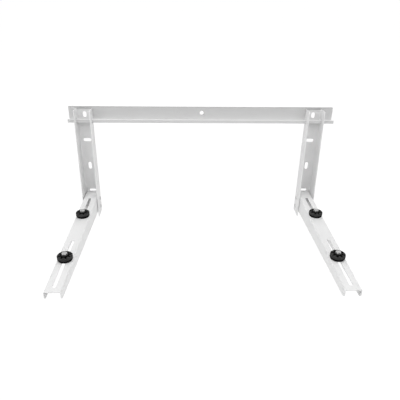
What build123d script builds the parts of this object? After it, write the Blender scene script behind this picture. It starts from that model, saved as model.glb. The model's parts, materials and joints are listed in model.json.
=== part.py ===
"""Wall bracket that carries an air conditioner's outdoor unit.

A crossbar is screwed to the wall. Two uprights hang in its trough, and each holds
a cantilever arm between its flanges. Four rubber mounts on the arms take the
unit's feet.

Frame: X runs along the crossbar, Y points to the wall and Z is up. The wall is the
plane Y = 0, and the origin is the crossbar's centre hole where it meets the wall.
"""

import os
from math import cos, radians

from build123d import *

os.makedirs("parts", exist_ok=True)

# Crossbar, folded to a J: a web on the wall, a floor and a lip turned up
bar_length = 800.0
bar_height = 43.5
bar_depth = 26.5
bar_lip = 11.0
bar_sheet = 2.0
bar_bend = 1.5
bar_corner = 2.0
centre_hole_diameter = 12.0
centre_hole_drop = 18.0
window_length = 32.0
window_height = 20.0

# Uprights, folded to a channel that opens to the front
upright_inset = 53.5
upright_shift = -5.8
upright_width = 48.0
upright_length = 343.5
upright_drop = 4.5
upright_sheet = 2.0
upright_bend = 1.5
flange_depth_top = 42.0
flange_depth_bottom = 56.0
flange_rise = 4.0
flange_corner = 3.0
notch_clearance = 1.5
notch_corner = 1.5
web_relief = 11.0
web_relief_corner = 3.0
anchor_slot_drop = 18.5
anchor_slot_length = 18.0
anchor_slot_width = 11.0
wall_slot_drop = 99.5
wall_slot_length = 24.0
wall_slot_width = 10.5
low_slot_rise = 71.6
low_slot_length = 20.5
low_slot_width = 8.0

# Arms, folded to a channel that opens downwards and tapers to the front
arm_width = 41.0
arm_reach = 518.0
arm_rise = 65.5
arm_sheet = 2.0
arm_bend = 1.5
arm_root_clearance = 1.0
arm_heel_height = 58.0
arm_heel_length = 34.0
arm_taper_start = 56.0
arm_root_height = 49.0
arm_tip_height = 22.0
arm_tip_corner = 9.0
arm_corner = 3.0
arm_slot_width = 8.6
rear_slot_start = 52.5
rear_slot_length = 133.5
front_slot_length = 199.5
front_slot_tip_distance = 16.5

# Bolts that pin each arm in its upright
pin_distance = 21.0
pin_drop = 16.5
pin_pitch = 29.0
pin_diameter = 8.0
pin_hole_clearance = 0.8
pin_head_diameter = 13.0
pin_head_height = 2.4
pin_head_shoulder = (5.4, 1.6)
pin_head_flat = 7.0
pin_socket_width = 5.0
pin_socket_depth = 1.6
pin_washer_diameter = 16.0
pin_washer_thickness = 1.6
pin_nut_width = 13.0
pin_nut_height = 6.5
pin_projection = 1.2

# Rubber mounts and the bolts through them
rear_mount_in_slot = 115.0
front_mount_in_slot = 87.0
pad_diameter = 39.0
pad_height = 13.0
pad_foot_diameter = 36.0
pad_foot_height = 2.8
pad_bevel = 1.2
pad_hub_diameter = 19.0
pad_hub_rise = 0.6
pad_pocket_count = 8
pad_pocket_depth = 7.0
pad_pocket_length = 6.8
pad_pocket_width = 5.0
pad_pocket_distance = 13.4
pad_bore_clearance = 0.8
stud_diameter = 8.0
stud_head_width = 13.0
stud_head_height = 5.3
stud_projection = 1.5
lower_washer_diameter = 20.0
lower_washer_thickness = 1.6
top_washer_diameter = 16.5
top_washer_thickness = 1.6
top_nut_width = 13.0
top_nut_height = 4.0

# Small values that all fasteners share
thread_clearance = 0.1
washer_clearance = 0.4
thread_chamfer = 0.8
nut_corner_angle = 30.0

# Places worked out from the sizes above
bar_top = centre_hole_drop
bar_bottom = bar_top - bar_height
floor_top = bar_bottom + bar_sheet
lip_top = bar_bottom + bar_lip
upright_spacing = bar_length - 2 * upright_inset
upright_back = bar_sheet + bar_bend
upright_top = bar_top - upright_drop
upright_bottom = upright_top - upright_length
wall_slot_pitch = (upright_length - wall_slot_drop - low_slot_rise) / 2
web_front = upright_back + upright_sheet
arm_top = upright_bottom + arm_rise
arm_rear = web_front + arm_root_clearance
arm_under = arm_top - arm_sheet
front_slot_start = arm_reach - front_slot_tip_distance - front_slot_length
pad_top = arm_top + pad_height + pad_hub_rise
pin_hole_radius = (pin_diameter + pin_hole_clearance) / 2
uprights = {
    "left": (-upright_spacing / 2 + upright_shift, 1),
    "right": (upright_spacing / 2 + upright_shift, -1),
}
pins = {"upper": pin_drop, "lower": pin_drop + pin_pitch}
mounts = {
    "rear": rear_slot_start + rear_mount_in_slot,
    "front": front_slot_start + front_mount_in_slot,
}
wall_slots = (
    (0, wall_slot_length, wall_slot_width),
    (90, wall_slot_length, wall_slot_width),
    (0, low_slot_length, low_slot_width),
)


def build_crossbar():
    with BuildPart() as crossbar:
        with BuildSketch(Plane.YZ.offset(-bar_length / 2)):
            with BuildLine():
                FilletPolyline(
                    (0, bar_top),
                    (0, bar_bottom),
                    (-bar_depth, bar_bottom),
                    (-bar_depth, lip_top),
                    radius=bar_bend + bar_sheet,
                )
                offset(amount=bar_sheet, side=Side.RIGHT)
            make_face()
        extrude(amount=bar_length)
        across = crossbar.edges().filter_by(Axis.Y)
        fillet(across.group_by(Axis.Z)[-1], bar_corner)
        lip_edges = across.filter_by(lambda edge: edge.center().Y < -bar_depth / 2)
        fillet(lip_edges.group_by(Axis.Z)[-1], bar_corner)
        with BuildSketch(Plane.XZ):
            Circle(centre_hole_diameter / 2)
            with Locations(
                (-upright_spacing / 2, upright_top - anchor_slot_drop),
                (upright_spacing / 2, upright_top - anchor_slot_drop),
            ):
                SlotOverall(window_length, window_height)
        extrude(amount=bar_sheet, mode=Mode.SUBTRACT)
    crossbar.part.label = "crossbar"
    export_step(crossbar.part, "parts/crossbar.step")


def build_upright(side):
    x_mid = uprights[side][0]
    half = upright_width / 2
    front_top = -(upright_back + flange_depth_top)
    front_bottom = -(upright_back + flange_depth_bottom)
    with BuildPart() as upright:
        with BuildSketch(Plane.XY.offset(upright_bottom)):
            with BuildLine():
                FilletPolyline(
                    (x_mid - half, front_bottom),
                    (x_mid - half, -upright_back),
                    (x_mid + half, -upright_back),
                    (x_mid + half, front_bottom),
                    radius=upright_bend + upright_sheet,
                )
                offset(amount=upright_sheet, side=Side.RIGHT)
            make_face()
        extrude(amount=upright_length + flange_rise)

        # Side view: the flanges taper, their top edge rises to the front
        with BuildSketch(Plane.YZ.offset(x_mid)) as side_view:
            with BuildLine():
                Polyline(
                    (-upright_back, upright_bottom),
                    (-upright_back, upright_top),
                    (-web_front, upright_top),
                    (front_top, upright_top + flange_rise),
                    (front_bottom, upright_bottom),
                    close=True,
                )
            make_face()
            free_corners = side_view.vertices().group_by(Axis.X)[:2]
            fillet([corner for group in free_corners for corner in group], flange_corner)
        extrude(amount=half, both=True, mode=Mode.INTERSECT)

        # Notch for the crossbar: its floor cuts the web too, and above it only the
        # flanges are cut, so that the web's end stands on the crossbar's floor
        notch_front = -(bar_depth + notch_clearance)
        notch_top = lip_top + notch_clearance
        notch_bottom = bar_bottom - notch_clearance
        tongue_front = -(web_front + upright_bend)
        with BuildSketch(Plane.YZ.offset(x_mid)) as notch:
            with BuildLine():
                Polyline(
                    (0, notch_bottom),
                    (0, floor_top),
                    (tongue_front, floor_top),
                    (tongue_front, notch_top),
                    (notch_front, notch_top),
                    (notch_front, notch_bottom),
                    close=True,
                )
            make_face()
            fillet(notch.vertices().group_by(Axis.X)[0], notch_corner)
        extrude(amount=half, both=True, mode=Mode.SUBTRACT)

        # Anchor slots in the web
        with BuildSketch(Plane.XZ.offset(upright_back)):
            with Locations((x_mid, upright_top - anchor_slot_drop)):
                SlotOverall(anchor_slot_length, anchor_slot_width, rotation=90)
            for row, (turn, length, width) in enumerate(wall_slots):
                with Locations((x_mid, upright_top - wall_slot_drop - row * wall_slot_pitch)):
                    SlotOverall(length, width, rotation=turn)
        extrude(amount=upright_sheet, mode=Mode.SUBTRACT)

        # The web ends above the flanges
        relief_width = upright_width - 2 * (upright_sheet + upright_bend)
        with BuildSketch(Plane.XZ.offset(upright_back)) as relief:
            with Locations((x_mid, upright_bottom)):
                Rectangle(relief_width, 2 * web_relief)
            fillet(relief.vertices(), web_relief_corner)
        extrude(amount=upright_sheet, mode=Mode.SUBTRACT)

        # Holes for the arm's bolts, through both flanges
        with BuildSketch(Plane.YZ.offset(x_mid)):
            with Locations(*[(-pin_distance, arm_top - drop) for drop in pins.values()]):
                Circle(pin_hole_radius)
        extrude(amount=half, both=True, mode=Mode.SUBTRACT)
    upright.part.label = f"upright_{side}"
    export_step(upright.part, f"parts/upright_{side}.step")


def build_arm(side):
    x_mid = uprights[side][0]
    half = arm_width / 2
    with BuildPart() as arm:
        with BuildSketch(Plane.XZ.offset(arm_rear)):
            with BuildLine():
                FilletPolyline(
                    (x_mid - half, arm_top - arm_heel_height),
                    (x_mid - half, arm_top),
                    (x_mid + half, arm_top),
                    (x_mid + half, arm_top - arm_heel_height),
                    radius=arm_bend + arm_sheet,
                )
                offset(amount=arm_sheet, side=Side.RIGHT)
            make_face()
        extrude(amount=arm_reach - arm_rear)

        # Side view: a deep heel for the bolts in the upright, then a long taper
        with BuildSketch(Plane.YZ.offset(x_mid)) as side_view:
            with BuildLine():
                Polyline(
                    (-arm_rear, arm_top),
                    (-arm_rear, arm_top - arm_heel_height),
                    (-(arm_rear + arm_heel_length), arm_top - arm_heel_height),
                    (-arm_taper_start, arm_top - arm_root_height),
                    (-arm_reach, arm_top - arm_tip_height),
                    (-arm_reach, arm_top),
                    close=True,
                )
            make_face()
            tip, *heel = side_view.vertices().filter_by(lambda v: v.Y < arm_under).sort_by(Axis.X)
            fillet(heel, arm_corner)
            tip = side_view.vertices().filter_by(lambda v: v.Y < arm_under).sort_by(Axis.X)[0]
            fillet(tip, arm_tip_corner)
        extrude(amount=half, both=True, mode=Mode.INTERSECT)

        # Two long slots for the mounts' bolts
        with BuildSketch(Plane.XY.offset(arm_top)):
            with Locations((x_mid, -(rear_slot_start + rear_slot_length / 2))):
                SlotOverall(rear_slot_length, arm_slot_width, rotation=90)
            with Locations((x_mid, -(front_slot_start + front_slot_length / 2))):
                SlotOverall(front_slot_length, arm_slot_width, rotation=90)
        extrude(amount=-arm_sheet, mode=Mode.SUBTRACT)

        with BuildSketch(Plane.YZ.offset(x_mid)):
            with Locations(*[(-pin_distance, arm_top - drop) for drop in pins.values()]):
                Circle(pin_hole_radius)
        extrude(amount=half, both=True, mode=Mode.SUBTRACT)
    arm.part.label = f"arm_{side}"
    export_step(arm.part, f"parts/arm_{side}.step")


def hex_outer_diameter(width):
    return width / cos(radians(30))


def build_washer(name, seat, diameter, bore, thickness):
    with BuildPart() as washer:
        with BuildSketch(seat):
            Circle(diameter / 2)
            Circle(bore / 2, mode=Mode.SUBTRACT)
        extrude(amount=thickness)
    washer.part.label = name
    export_step(washer.part, f"parts/{name}.step")


def build_nut(name, seat, width, thread, height):
    corner = hex_outer_diameter(width) / 2
    with BuildPart() as nut:
        with BuildSketch(seat):
            RegularPolygon(width / 2, 6, major_radius=False)
            Circle((thread + thread_clearance) / 2, mode=Mode.SUBTRACT)
        extrude(amount=height)
        # A cone cuts the six corners back at the free end
        slope = (corner - width / 2) * cos(radians(nut_corner_angle))
        with BuildSketch(Plane(seat.origin, x_dir=seat.x_dir, z_dir=-seat.y_dir)):
            with BuildLine():
                Polyline(
                    (0, 0),
                    (corner, 0),
                    (corner, height - slope),
                    (width / 2, height),
                    (0, height),
                    close=True,
                )
            make_face()
        revolve(axis=Axis(seat.origin, seat.z_dir), mode=Mode.INTERSECT)
    nut.part.label = name
    export_step(nut.part, f"parts/{name}.step")


def build_pin(name, seat, length):
    """Button head outside the seat, shank of the given length behind it."""
    with BuildPart() as pin:
        with BuildSketch(Plane(seat.origin, x_dir=seat.x_dir, z_dir=-seat.y_dir)):
            with BuildLine():
                Line((0, -length), (pin_diameter / 2 - thread_chamfer, -length))
                Line(
                    (pin_diameter / 2 - thread_chamfer, -length),
                    (pin_diameter / 2, -length + thread_chamfer),
                )
                Line((pin_diameter / 2, -length + thread_chamfer), (pin_diameter / 2, 0))
                Line((pin_diameter / 2, 0), (pin_head_diameter / 2, 0))
                ThreePointArc(
                    (pin_head_diameter / 2, 0),
                    pin_head_shoulder,
                    (pin_head_flat / 2, pin_head_height),
                )
                Line((pin_head_flat / 2, pin_head_height), (0, pin_head_height))
                Line((0, pin_head_height), (0, -length))
            make_face()
        revolve(axis=Axis(seat.origin, seat.z_dir))
        with BuildSketch(seat.offset(pin_head_height)):
            RegularPolygon(pin_socket_width / 2, 6, major_radius=False)
        extrude(amount=-pin_socket_depth, mode=Mode.SUBTRACT)
    pin.part.label = name
    export_step(pin.part, f"parts/{name}.step")


def build_stud(name, seat, length):
    """Hexagon head below the seat, shank of the given length above it."""
    corner = hex_outer_diameter(stud_head_width) / 2
    slope = (corner - stud_head_width / 2) * cos(radians(nut_corner_angle))
    with BuildPart() as stud:
        with BuildSketch(seat):
            RegularPolygon(stud_head_width / 2, 6, major_radius=False)
        extrude(amount=-stud_head_height)
        with BuildSketch(Plane(seat.origin, x_dir=seat.x_dir, z_dir=-seat.y_dir)):
            with BuildLine():
                Polyline(
                    (0, 0),
                    (corner, 0),
                    (corner, slope - stud_head_height),
                    (stud_head_width / 2, -stud_head_height),
                    (0, -stud_head_height),
                    close=True,
                )
            make_face()
        revolve(axis=Axis(seat.origin, seat.z_dir), mode=Mode.INTERSECT)
        with BuildSketch(seat):
            Circle(stud_diameter / 2)
        extrude(amount=length)
        chamfer(stud.faces().sort_by(Axis.Z)[-1].edges(), thread_chamfer)
    stud.part.label = name
    export_step(stud.part, f"parts/{name}.step")


def build_pad(name, seat):
    """Rubber disc with a stepped foot, a raised hub and a ring of pockets."""
    foot = pad_foot_diameter / 2
    rim = pad_diameter / 2
    hub = pad_hub_diameter / 2
    with BuildPart() as pad:
        with BuildSketch(Plane(seat.origin, x_dir=seat.x_dir, z_dir=-seat.y_dir)):
            with BuildLine():
                Polyline(
                    (0, 0),
                    (foot, 0),
                    (foot, pad_foot_height),
                    (rim, pad_foot_height),
                    (rim, pad_height),
                    (hub, pad_height),
                    (hub, pad_height + pad_hub_rise),
                    (0, pad_height + pad_hub_rise),
                    close=True,
                )
            make_face()
        revolve(axis=Axis(seat.origin, seat.z_dir))
        circles = pad.edges().filter_by(GeomType.CIRCLE).group_by(SortBy.RADIUS)
        chamfer(circles[-1], pad_bevel)
        with BuildSketch(seat.offset(pad_height)):
            half_step = 180 / pad_pocket_count
            with PolarLocations(pad_pocket_distance, pad_pocket_count, start_angle=half_step):
                Rectangle(pad_pocket_length, pad_pocket_width)
        extrude(amount=-pad_pocket_depth, mode=Mode.SUBTRACT)
        with BuildSketch(seat):
            Circle((stud_diameter + pad_bore_clearance) / 2)
        extrude(amount=pad_height + pad_hub_rise, mode=Mode.SUBTRACT)
    pad.part.label = name
    export_step(pad.part, f"parts/{name}.step")


build_crossbar()
for side, (x_mid, inward) in uprights.items():
    build_upright(side)
    build_arm(side)

    # The arm's bolts: head on the flange nearer the middle, nut on the outer one
    for place, drop in pins.items():
        height = arm_top - drop
        head_seat = Plane(
            (x_mid + inward * upright_width / 2, -pin_distance, height),
            x_dir=(0, 1, 0),
            z_dir=(inward, 0, 0),
        )
        washer_seat = Plane(
            (x_mid - inward * upright_width / 2, -pin_distance, height),
            x_dir=(0, 1, 0),
            z_dir=(-inward, 0, 0),
        )
        grip = upright_width + pin_washer_thickness + pin_nut_height + pin_projection
        build_pin(f"arm_bolt_{side}_{place}", head_seat, grip)
        build_washer(
            f"arm_washer_{side}_{place}",
            washer_seat,
            pin_washer_diameter,
            pin_diameter + washer_clearance,
            pin_washer_thickness,
        )
        build_nut(
            f"arm_nut_{side}_{place}",
            washer_seat.offset(pin_washer_thickness),
            pin_nut_width,
            pin_diameter,
            pin_nut_height,
        )

    # The rubber mounts, each with its bolt from below
    for place, distance in mounts.items():
        arm_seat = Plane((x_mid, -distance, arm_top))
        under_seat = Plane((x_mid, -distance, arm_under), z_dir=(0, 0, -1))
        head_seat = Plane((x_mid, -distance, arm_under - lower_washer_thickness))
        nut_seat = Plane((x_mid, -distance, pad_top + top_washer_thickness))
        length = nut_seat.origin.Z + top_nut_height + stud_projection - head_seat.origin.Z
        build_pad(f"rubber_mount_{side}_{place}", arm_seat)
        build_stud(f"mount_bolt_{side}_{place}", head_seat, length)
        build_washer(
            f"lower_washer_{side}_{place}",
            under_seat,
            lower_washer_diameter,
            stud_diameter + washer_clearance,
            lower_washer_thickness,
        )
        build_washer(
            f"top_washer_{side}_{place}",
            Plane((x_mid, -distance, pad_top)),
            top_washer_diameter,
            stud_diameter + washer_clearance,
            top_washer_thickness,
        )
        build_nut(
            f"top_nut_{side}_{place}",
            nut_seat,
            top_nut_width,
            stud_diameter,
            top_nut_height,
        )
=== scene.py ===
import json
import math
import bmesh
import bpy
from mathutils import Matrix, Vector


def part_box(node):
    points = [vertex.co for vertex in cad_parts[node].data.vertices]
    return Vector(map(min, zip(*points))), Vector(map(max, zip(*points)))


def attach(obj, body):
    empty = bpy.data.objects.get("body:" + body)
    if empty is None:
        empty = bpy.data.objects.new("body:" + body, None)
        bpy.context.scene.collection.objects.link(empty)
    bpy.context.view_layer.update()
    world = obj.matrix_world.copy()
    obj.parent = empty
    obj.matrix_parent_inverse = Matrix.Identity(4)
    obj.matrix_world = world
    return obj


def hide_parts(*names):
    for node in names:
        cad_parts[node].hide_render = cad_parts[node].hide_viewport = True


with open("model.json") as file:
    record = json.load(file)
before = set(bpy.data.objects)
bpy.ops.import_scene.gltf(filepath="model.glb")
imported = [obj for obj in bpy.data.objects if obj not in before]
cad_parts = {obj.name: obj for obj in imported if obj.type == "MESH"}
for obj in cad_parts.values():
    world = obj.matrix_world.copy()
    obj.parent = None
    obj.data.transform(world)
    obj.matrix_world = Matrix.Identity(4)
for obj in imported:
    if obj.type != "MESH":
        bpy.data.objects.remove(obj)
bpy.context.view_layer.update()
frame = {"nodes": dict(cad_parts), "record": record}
nodes = frame["nodes"]
print("frame loaded:", len(nodes), "nodes")

mm = 0.001
up = Vector((0, 0, 1))
sides = ("left", "right")
mountPlaces = ("rear", "front")
pinPlaces = ("upper", "lower")


def grey(level):
    return (level, level, level, 1)


# camera: fitted to the photograph's edges
cameraView = {
    "place": (-0.0479, -1.3329, 0.3989),
    "pitchDown": 27.65,
    "turn": -2.02,
    "roll": 0.87,
    "focalPixels": 449.6,
    "imagePixels": 400,
    "sensor": 36.0,
}


def addCamera(v):
    data = bpy.data.cameras.new("photoCamera")
    data.sensor_width = v["sensor"]
    data.lens = v["focalPixels"] / v["imagePixels"] * v["sensor"]
    camera = bpy.data.objects.new("photoCamera", data)
    bpy.context.scene.collection.objects.link(camera)
    turn = Matrix.Rotation(math.radians(v["turn"]), 4, "Z")
    tilt = Matrix.Rotation(math.radians(90 - v["pitchDown"]), 4, "X")
    roll = Matrix.Rotation(math.radians(v["roll"]), 4, "Z")
    camera.matrix_world = Matrix.Translation(v["place"]) @ turn @ tilt @ roll
    bpy.context.scene.camera = camera


addCamera(cameraView)
print("camera set")


class Wire:
    # an output of a node, or just a tree to add nodes to; sums and the like add Math nodes
    def __init__(self, tree, socket=None):
        self.tree = tree
        self.socket = socket

    def node(self, kind, settings=None, inputs=None, output=0):
        made = self.tree.nodes.new(kind)
        for name, value in (settings or {}).items():
            if name == "stops":
                for stop, (place, level) in zip(made.color_ramp.elements, value):
                    stop.position = place
                    stop.color = grey(level)
            else:
                setattr(made, name, value)
        for name, value in (inputs or {}).items():
            if isinstance(value, Wire):
                self.tree.links.new(value.socket, made.inputs[name])
            else:
                made.inputs[name].default_value = value
        return Wire(self.tree, made.outputs[output])

    def maths(self, operation, *inputs):
        return self.node("ShaderNodeMath", {"operation": operation}, dict(enumerate(inputs)))

    def __add__(self, other):
        return self.maths("ADD", self, other)

    def __sub__(self, other):
        return self.maths("SUBTRACT", self, other)

    def __rsub__(self, other):
        return self.maths("SUBTRACT", other, self)

    def __mul__(self, other):
        return self.maths("MULTIPLY", self, other)

    def __gt__(self, other):
        return self.maths("GREATER_THAN", self, other)

    def __lt__(self, other):
        return self.maths("LESS_THAN", self, other)

    def __abs__(self):
        return self.maths("ABSOLUTE", self)

    __radd__ = __add__
    __rmul__ = __mul__


def startMaterial(name):
    material = bpy.data.materials.new(name)
    material.use_nodes = True
    material.node_tree.nodes.clear()
    return material, Wire(material.node_tree)


def finishTree(shader, kind="ShaderNodeOutputMaterial"):
    made = shader.tree.nodes.new(kind)
    shader.tree.links.new(shader.socket, made.inputs["Surface"])


def objectPoint(start):
    return start.node("ShaderNodeTexCoord", output="Object")


def axes(point):
    return [point.node("ShaderNodeSeparateXYZ", {}, {0: point}, axis) for axis in "XYZ"]


def noise(point, size, detail, roughness):
    inputs = {"Vector": point, "Scale": 1 / size, "Detail": detail, "Roughness": roughness}
    return point.node("ShaderNodeTexNoise", {}, inputs)


def ramp(value, low, high):
    return value.node("ShaderNodeValToRGB", {"stops": ((low, 0), (high, 1))}, {0: value})


def passing(value, first, last):
    # 0 up to the first limit and 1 from the last one on, which may be the lower of the two
    inputs = {"Value": value, "From Min": first, "From Max": last}
    return value.node("ShaderNodeMapRange", {}, inputs)


def mixColours(factor, first, second):
    # sockets 6 and 7 and output 2 are a Mix node's colours
    inputs = {0: factor, 6: first, 7: second}
    return factor.node("ShaderNodeMix", {"data_type": "RGBA"}, inputs, 2)


def bump(height, depth, under=None):
    inputs = {"Height": height, "Distance": depth}
    if under:
        inputs["Normal"] = under
    return height.node("ShaderNodeBump", {}, inputs)


def finishSurface(v, colour, cloud, normal):
    # the roughness wanders with the cloud, which is 0.5 on average
    finishTree(colour.node("ShaderNodeBsdfPrincipled", {}, {
        "Base Color": colour,
        "Roughness": v["roughness"] + v["roughnessSpread"] * (cloud - 0.5),
        "Normal": normal,
        "Metallic": v["metallic"],
        "Specular IOR Level": v["specular"],
    }))


# white powder coat: faint orange peel, hardly any change of colour
coatLook = {
    "colour": grey(0.86),
    "shade": grey(0.835),
    "cloud": {"size": 90 * mm, "detail": 4.0, "roughness": 0.55},
    "cloudRange": (0.35, 0.65),
    "peel": {"size": 1.3 * mm, "detail": 1.0, "roughness": 0.4},
    "peelDepth": 0.012 * mm,
    "grain": {"size": 0.35 * mm, "detail": 1.0, "roughness": 0.5},
    "grainDepth": 0.005 * mm,
    "roughness": 0.46,
    "roughnessSpread": 0.10,
    "metallic": 0,
    "specular": 0.45,
    "middle": 0,  # a band's offset is the distance from here along X
}


def shadeBands(point, colour, v):
    # each band blends in where the places that it names go from its first limits to its last
    across, depth, height = axes(point)
    places = {"offset": abs(across - v["middle"]), "depth": depth, "height": height}
    for band in v["bands"]:
        share = math.prod(passing(places[name], *band[name]) for name in places if name in band)
        colour = mixColours(share, colour, band["shade"])
    return colour


def powderCoat(name, v):
    material, start = startMaterial(name)
    point = objectPoint(start)
    cloud = noise(point, **v["cloud"])
    peel = noise(point, **v["peel"])
    colour = mixColours(ramp(cloud, *v["cloudRange"]), v["colour"], v["shade"])
    fine = bump(noise(point, **v["grain"]), v["grainDepth"])
    finishSurface(v, shadeBands(point, colour, v), peel, bump(peel, v["peelDepth"], fine))
    return material


# the crossbar's coat, all painted light and shade: greyer overall and greyer up its web as painted
# shade, a painted shadow line along its top edge, painted shade on its lip and a painted highlight along
# its lip's edge
barLow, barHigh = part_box("crossbar")
lipDepth = (barLow.y + 3.6 * mm, barLow.y + 3.5 * mm)
# the whole coat is painted a shade greyer than the other coats, as painted shade
barCoatLook = dict(coatLook, colour=grey(0.78), shade=grey(0.76), bands=(
    # painted shade, darkest high on the web and fading towards the trough
    {"shade": grey(0.59), "height": (barLow.z + 1.5 * mm, barHigh.z - 2 * mm)},
    # a painted shadow line along the top edge
    {"shade": grey(0.30), "height": (barHigh.z - 0.8 * mm, barHigh.z - 0.7 * mm)},
    # painted shade on the lip
    {"shade": grey(0.66), "depth": lipDepth},
    # a painted highlight along the lip's top edge
    {"shade": grey(0.95), "depth": lipDepth, "height": (barLow.z + 10.1 * mm, barLow.z + 10.2 * mm)},
))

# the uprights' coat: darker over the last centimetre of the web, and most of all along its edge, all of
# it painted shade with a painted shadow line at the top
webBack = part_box("upright_left")[1].y
webTop = max(v.co.z for v in nodes["upright_left"].data.vertices if v.co.y > webBack - 0.1 * mm)
webDepth = (webBack - 2.5 * mm, webBack - 2.4 * mm)
uprightCoatLook = dict(coatLook, bands=(
    # painted shade over the web's upper end
    {"shade": grey(0.62), "depth": webDepth, "height": (webTop - 10 * mm, webTop)},
    # a painted shadow line along the web's top edge
    {"shade": grey(0.35), "depth": webDepth, "height": (webTop - 0.9 * mm, webTop - 0.8 * mm)},
))


# an arm's coat: painted shade inside the channel's open end
def armCoatLook(low, high):
    middle = (low.x + high.x) / 2
    wall = high.x - middle
    return dict(coatLook, middle=middle, bands=({
        # painted shade on the inner faces of the channel's open end
        "shade": grey(0.60),
        "offset": (wall - 1.6 * mm, wall - 1.8 * mm),
        "depth": (low.y + 48 * mm, low.y + 13 * mm),
        "height": (high.z - 1.8 * mm, high.z - 2 * mm),
    },))


# zinc plate on steel: soft grey metal with a fine mottle
zincLook = {
    "colour": grey(0.50),
    "shade": grey(0.32),
    "cloud": {"size": 2.2 * mm, "detail": 5.0, "roughness": 0.6},
    "cloudRange": (0.38, 0.66),
    "grain": {"size": 0.22 * mm, "detail": 2.0, "roughness": 0.6},
    "grainDepth": 0.006 * mm,
    "roughness": 0.30,
    "roughnessSpread": 0.22,
    "metallic": 1,
    "specular": 0.5,
}
brightZincLook = dict(zincLook, colour=grey(0.56), shade=grey(0.42))
dullZincLook = dict(zincLook, colour=grey(0.06), shade=grey(0.03), roughness=0.45)


def zincPlate(name, v):
    material, start = startMaterial(name)
    point = objectPoint(start)
    cloud = noise(point, **v["cloud"])
    colour = mixColours(ramp(cloud, *v["cloudRange"]), v["colour"], v["shade"])
    finishSurface(v, colour, cloud, bump(noise(point, **v["grain"]), v["grainDepth"]))
    return material


# moulded rubber: black, with grey on its rim and on the ribs between its pockets that is partly wear and
# dust and partly a painted sheen
rubberLook = {
    "colour": grey(0.002),
    "wornAndSheen": grey(0.024),
    "dustyAndSheen": grey(0.058),
    "greyRibsFrom": 11.6 * mm,  # this and rimFrom are distances from the mount's axis
    "rimFrom": 17.6 * mm,
    "pocketLip": 1.4 * mm,
    "footHeight": 6.5 * mm,
    "cloud": {"size": 5 * mm, "detail": 5.0, "roughness": 0.6},
    "cloudRange": (0.35, 0.65),
    "grain": {"size": 0.3 * mm, "detail": 2.0, "roughness": 0.6},
    "grainDepth": 0.02 * mm,
    "roughness": 0.62,
    "roughnessSpread": 0.2,
    "metallic": 0,
    "specular": 0.04,
}


def mouldedRubber(name, v, low, high):
    material, start = startMaterial(name)
    point = objectPoint(start)
    height = axes(point)[2]
    inputs = {0: point, 1: (low + high) / 2}
    offset = point.node("ShaderNodeVectorMath", {"operation": "SUBTRACT"}, inputs)
    flat = point.node("ShaderNodeVectorMath", {"operation": "MULTIPLY"}, {0: offset, 1: (1, 1, 0)})
    reach = point.node("ShaderNodeVectorMath", {"operation": "LENGTH"}, {0: flat}, "Value")
    ribs = (reach > v["greyRibsFrom"]) * (height > high.z - v["pocketLip"])
    rim = (reach > v["rimFrom"]) * (height > low.z + v["footHeight"])
    cloud = noise(point, **v["cloud"])
    # the grey on the rim and rib tops is partly wear and dust and partly a painted sheen
    wornAndSheen = mixColours(ramp(cloud, *v["cloudRange"]), v["wornAndSheen"], v["dustyAndSheen"])
    colour = mixColours(ribs.maths("MAXIMUM", ribs, rim), v["colour"], wornAndSheen)
    finishSurface(v, colour, cloud, bump(noise(point, **v["grain"]), v["grainDepth"]))
    return material


# the finishes by the start of a node's name, of which the longest that fits counts
finishes = {
    "crossbar": powderCoat("barCoat", barCoatLook),
    "upright_": powderCoat("uprightCoat", uprightCoatLook),
    "arm_": zincPlate("brightZinc", brightZincLook),
    "top_washer_": zincPlate("dullZinc", dullZincLook),
    "": zincPlate("zincPlate", zincLook),
}
finishes["top_nut_"] = finishes["arm_"]
for side in sides:
    finishes[f"arm_{side}"] = powderCoat(f"armCoat_{side}", armCoatLook(*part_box(f"arm_{side}")))
    for place in mountPlaces:
        mount = f"{side}_{place}"
        finishes[f"rubber_mount_{mount}"] = mouldedRubber(
            f"rubber_{mount}", rubberLook, *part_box(f"rubber_mount_{mount}"))


def finishFor(node):
    return finishes[max(filter(node.startswith, finishes), key=len)]


for part in frame["record"]["subparts"]:
    for slot in nodes[part["node"]].material_slots:
        slot.material = finishFor(part["node"])
print("finishes on the frame's nodes")


# distances within which points of a mesh count as one
closeness = {"copy": 0.002 * mm, "cut": 0.0005 * mm, "thread": 0.01 * mm}


def copyMesh(node):
    made = bmesh.new()
    made.from_mesh(nodes[node].data)
    bmesh.ops.remove_doubles(made, verts=made.verts, dist=closeness["copy"])
    return made


def cutAway(made, point, normal):
    # drops what lies on the normal's side and closes the cut
    everything = made.verts[:] + made.edges[:] + made.faces[:]
    bmesh.ops.bisect_plane(made, geom=everything, dist=closeness["cut"], plane_co=point,
                           plane_no=normal, clear_outer=True)
    rim = [edge for edge in made.edges if edge.is_boundary]
    bmesh.ops.holes_fill(made, edges=rim, sides=0)


def addPiece(made, name, material):
    mesh = bpy.data.meshes.new(name)
    made.to_mesh(mesh)
    made.free()
    mesh.materials.append(material)
    piece = bpy.data.objects.new(name, mesh)
    bpy.context.scene.collection.objects.link(piece)
    return piece


# threaded bolts in place of the plain ones, whose heads and plain lengths they keep
threadSizes = {
    "pitch": 1.25 * mm,
    "radius": 3.96 * mm,
    "depth": 0.72 * mm,
    "rootFlat": 0.25,  # both flats are shares of a pitch
    "crestFlat": 0.125,
    "stepsPerTurn": 28,
    "spareTurns": 3,  # half of them at each end, cut off again
    "tipChamfer": 0.9 * mm,
    "tipInset": 0.1 * mm,
    "sink": 0.2 * mm,
    "sharpAngle": 28,  # in degrees
}
mountBolt = {"headHeight": 5.3 * mm, "plainLength": 0.3 * mm}
armBolt = {"headHeight": 2.4 * mm, "plainLength": 30 * mm}


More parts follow.
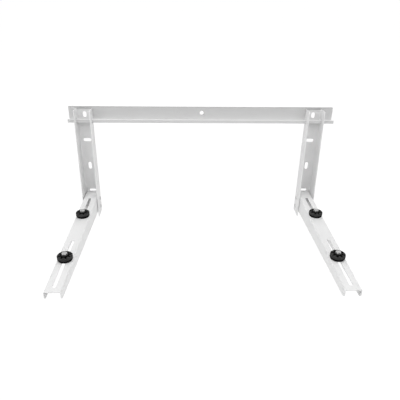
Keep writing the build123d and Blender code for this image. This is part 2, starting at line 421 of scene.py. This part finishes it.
def addThread(made, v, seat, axis, first, last):
    # a helix spun along Z from first to last, then laid along the bolt's axis
    pitch, crest = v["pitch"], v["radius"]
    root = crest - v["depth"]
    middle = (1 + v["rootFlat"]) / 2
    outline = ((root, 0), (root, v["rootFlat"]), (crest, middle - v["crestFlat"] / 2),
               (crest, middle + v["crestFlat"] / 2), (root, 1))
    low = first - v["spareTurns"] / 2 * pitch
    turns = math.ceil((last - first) / pitch) + v["spareTurns"]
    thread = bmesh.new()
    profile = [thread.verts.new((r, 0, low + z * pitch)) for r, z in outline]
    edges = [thread.edges.new(pair) for pair in zip(profile, profile[1:])]
    bmesh.ops.spin(thread, geom=profile + edges, cent=(0, 0, 0), axis=up,
                   dvec=up * pitch / v["stepsPerTurn"], angle=math.tau * turns,
                   steps=v["stepsPerTurn"] * turns, use_merge=False, use_duplicate=False)
    bmesh.ops.remove_doubles(thread, verts=thread.verts, dist=closeness["thread"])
    cutAway(thread, up * last, up)
    cutAway(thread, up * first, -up)
    for vert in thread.verts:
        toTip = last - vert.co.z
        limit = root - v["tipInset"] + toTip
        reach = math.hypot(vert.co.x, vert.co.y)
        if toTip < v["tipChamfer"] and reach > limit:
            vert.co.x *= limit / reach
            vert.co.y *= limit / reach
    bmesh.ops.recalc_face_normals(thread, faces=thread.faces)
    lay = Matrix.Translation(seat) @ up.rotation_difference(axis).to_matrix().to_4x4()
    bmesh.ops.transform(thread, matrix=lay, verts=thread.verts)
    # one bmesh reaches another by way of a mesh
    held = bpy.data.meshes.new("held")
    thread.to_mesh(held)
    thread.free()
    made.from_mesh(held)
    bpy.data.meshes.remove(held)


def threadedBolt(name, node, v, axis):
    low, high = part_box(node)
    length = abs(axis.dot(high - low))
    seat = (low + high) / 2 + axis * (v["headHeight"] - length / 2)
    made = copyMesh(node)
    cutAway(made, seat + axis * v["plainLength"], axis)
    first = v["plainLength"] - threadSizes["sink"]
    addThread(made, threadSizes, seat, axis, first, length - v["headHeight"])
    piece = addPiece(made, name, finishFor(node))
    piece.data.shade_smooth()
    piece.data.set_sharp_from_angle(angle=math.radians(threadSizes["sharpAngle"]))
    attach(piece, "root")
    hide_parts(node)


for side, outwards in zip(sides, (-1, 1)):
    for place in mountPlaces:
        bolt = f"{side}_{place}"
        threadedBolt(f"threadedMountBolt_{bolt}", f"mount_bolt_{bolt}", mountBolt, up)
    for place in pinPlaces:
        bolt = f"{side}_{place}"
        axis = Vector((outwards, 0, 0))
        threadedBolt(f"threadedArmBolt_{bolt}", f"arm_bolt_{bolt}", armBolt, axis)
print("bolts threaded")


# floor and light
stageLook = {
    "floorHeight": -0.62,
    "floorSize": 30.0,
    "floorColour": grey(0.9),
    "floorGlow": 0.9,
    "glowLevel": 1.09,
    "worldLevel": 0.25,
}
lamps = {
    "frontHigh": {"place": (0, -1.9, 1.7), "aim": (0, -0.2, -0.2), "size": (2.4, 1.2), "power": 13.5},
    "frontLeft": {"place": (-1.7, -2.0, 0.7), "aim": (0, -0.1, -0.15), "size": (1.2, 1.2), "power": 9.5},
    "frontRight": {"place": (1.7, -2.0, 0.7), "aim": (0, -0.1, -0.15), "size": (1.2, 1.2), "power": 8},
    "above": {"place": (0, -0.35, 1.6), "aim": (0, -0.25, -0.2), "size": (2.4, 1.6), "power": 19.5},
    "left": {"place": (-1.9, -0.3, 0.35), "aim": (0, -0.15, -0.15), "size": (1.4, 1.4), "power": 4.5},
    "right": {"place": (1.9, -0.3, 0.35), "aim": (0, -0.15, -0.15), "size": (1.4, 1.4), "power": 3.5},
    "below": {"place": (0, -0.35, -0.6), "aim": (0, -0.35, 0), "size": (1.8, 1.2), "power": 1.6},
    "behind": {"place": (0, 2.4, 0.5), "aim": (0, 0, -0.15), "size": (1.6, 1.0), "power": 9},
}


def whiteForCamera(start, share):
    # the share for camera, glossy and transmission rays, 0 for all others
    camera, glossy, transmission = (
        start.node("ShaderNodeLightPath", output=f"Is {kind} Ray")
        for kind in ("Camera", "Glossy", "Transmission"))
    seen = camera + glossy + transmission
    return seen.maths("MINIMUM", seen * share, share)


def addFloor(v):
    made = bmesh.new()
    bmesh.ops.create_grid(made, x_segments=1, y_segments=1, size=v["floorSize"] / 2)
    bmesh.ops.translate(made, vec=up * v["floorHeight"], verts=made.verts)
    material, start = startMaterial("floorPaint")
    matt = start.node("ShaderNodeBsdfDiffuse", {}, {"Color": v["floorColour"]})
    glow = start.node("ShaderNodeEmission", {}, {"Color": grey(1), "Strength": v["glowLevel"]})
    seen = whiteForCamera(start, v["floorGlow"])
    finishTree(start.node("ShaderNodeMixShader", {}, {0: seen, 1: matt, 2: glow}))
    floor = addPiece(made, "floor", material)


def addWorld(v):
    world = bpy.data.worlds.new("studio")
    bpy.context.scene.world = world
    world.use_nodes = True
    world.node_tree.nodes.clear()
    start = Wire(world.node_tree)
    inputs = {"Color": grey(1), "Strength": v["worldLevel"]}
    room = start.node("ShaderNodeBackground", {}, inputs)
    white = start.node("ShaderNodeBackground", {}, {"Color": grey(1), "Strength": 1})
    inputs = {0: whiteForCamera(start, 1), 1: room, 2: white}
    finishTree(start.node("ShaderNodeMixShader", {}, inputs), "ShaderNodeOutputWorld")


def addLamp(name, v):
    data = bpy.data.lights.new(name, "AREA")
    data.shape = "RECTANGLE"
    data.size, data.size_y = v["size"]
    data.energy = v["power"]
    lamp = bpy.data.objects.new(name, data)
    bpy.context.scene.collection.objects.link(lamp)
    away = Vector(v["place"]) - Vector(v["aim"])
    turn = away.to_track_quat("Z", "Y").to_matrix().to_4x4()
    lamp.matrix_world = Matrix.Translation(v["place"]) @ turn
    lamp.visible_camera = False


addFloor(stageLook)
addWorld(stageLook)
for name, values in lamps.items():
    addLamp(name, values)
bpy.context.scene.view_settings.view_transform = "Standard"
print("stage lit")
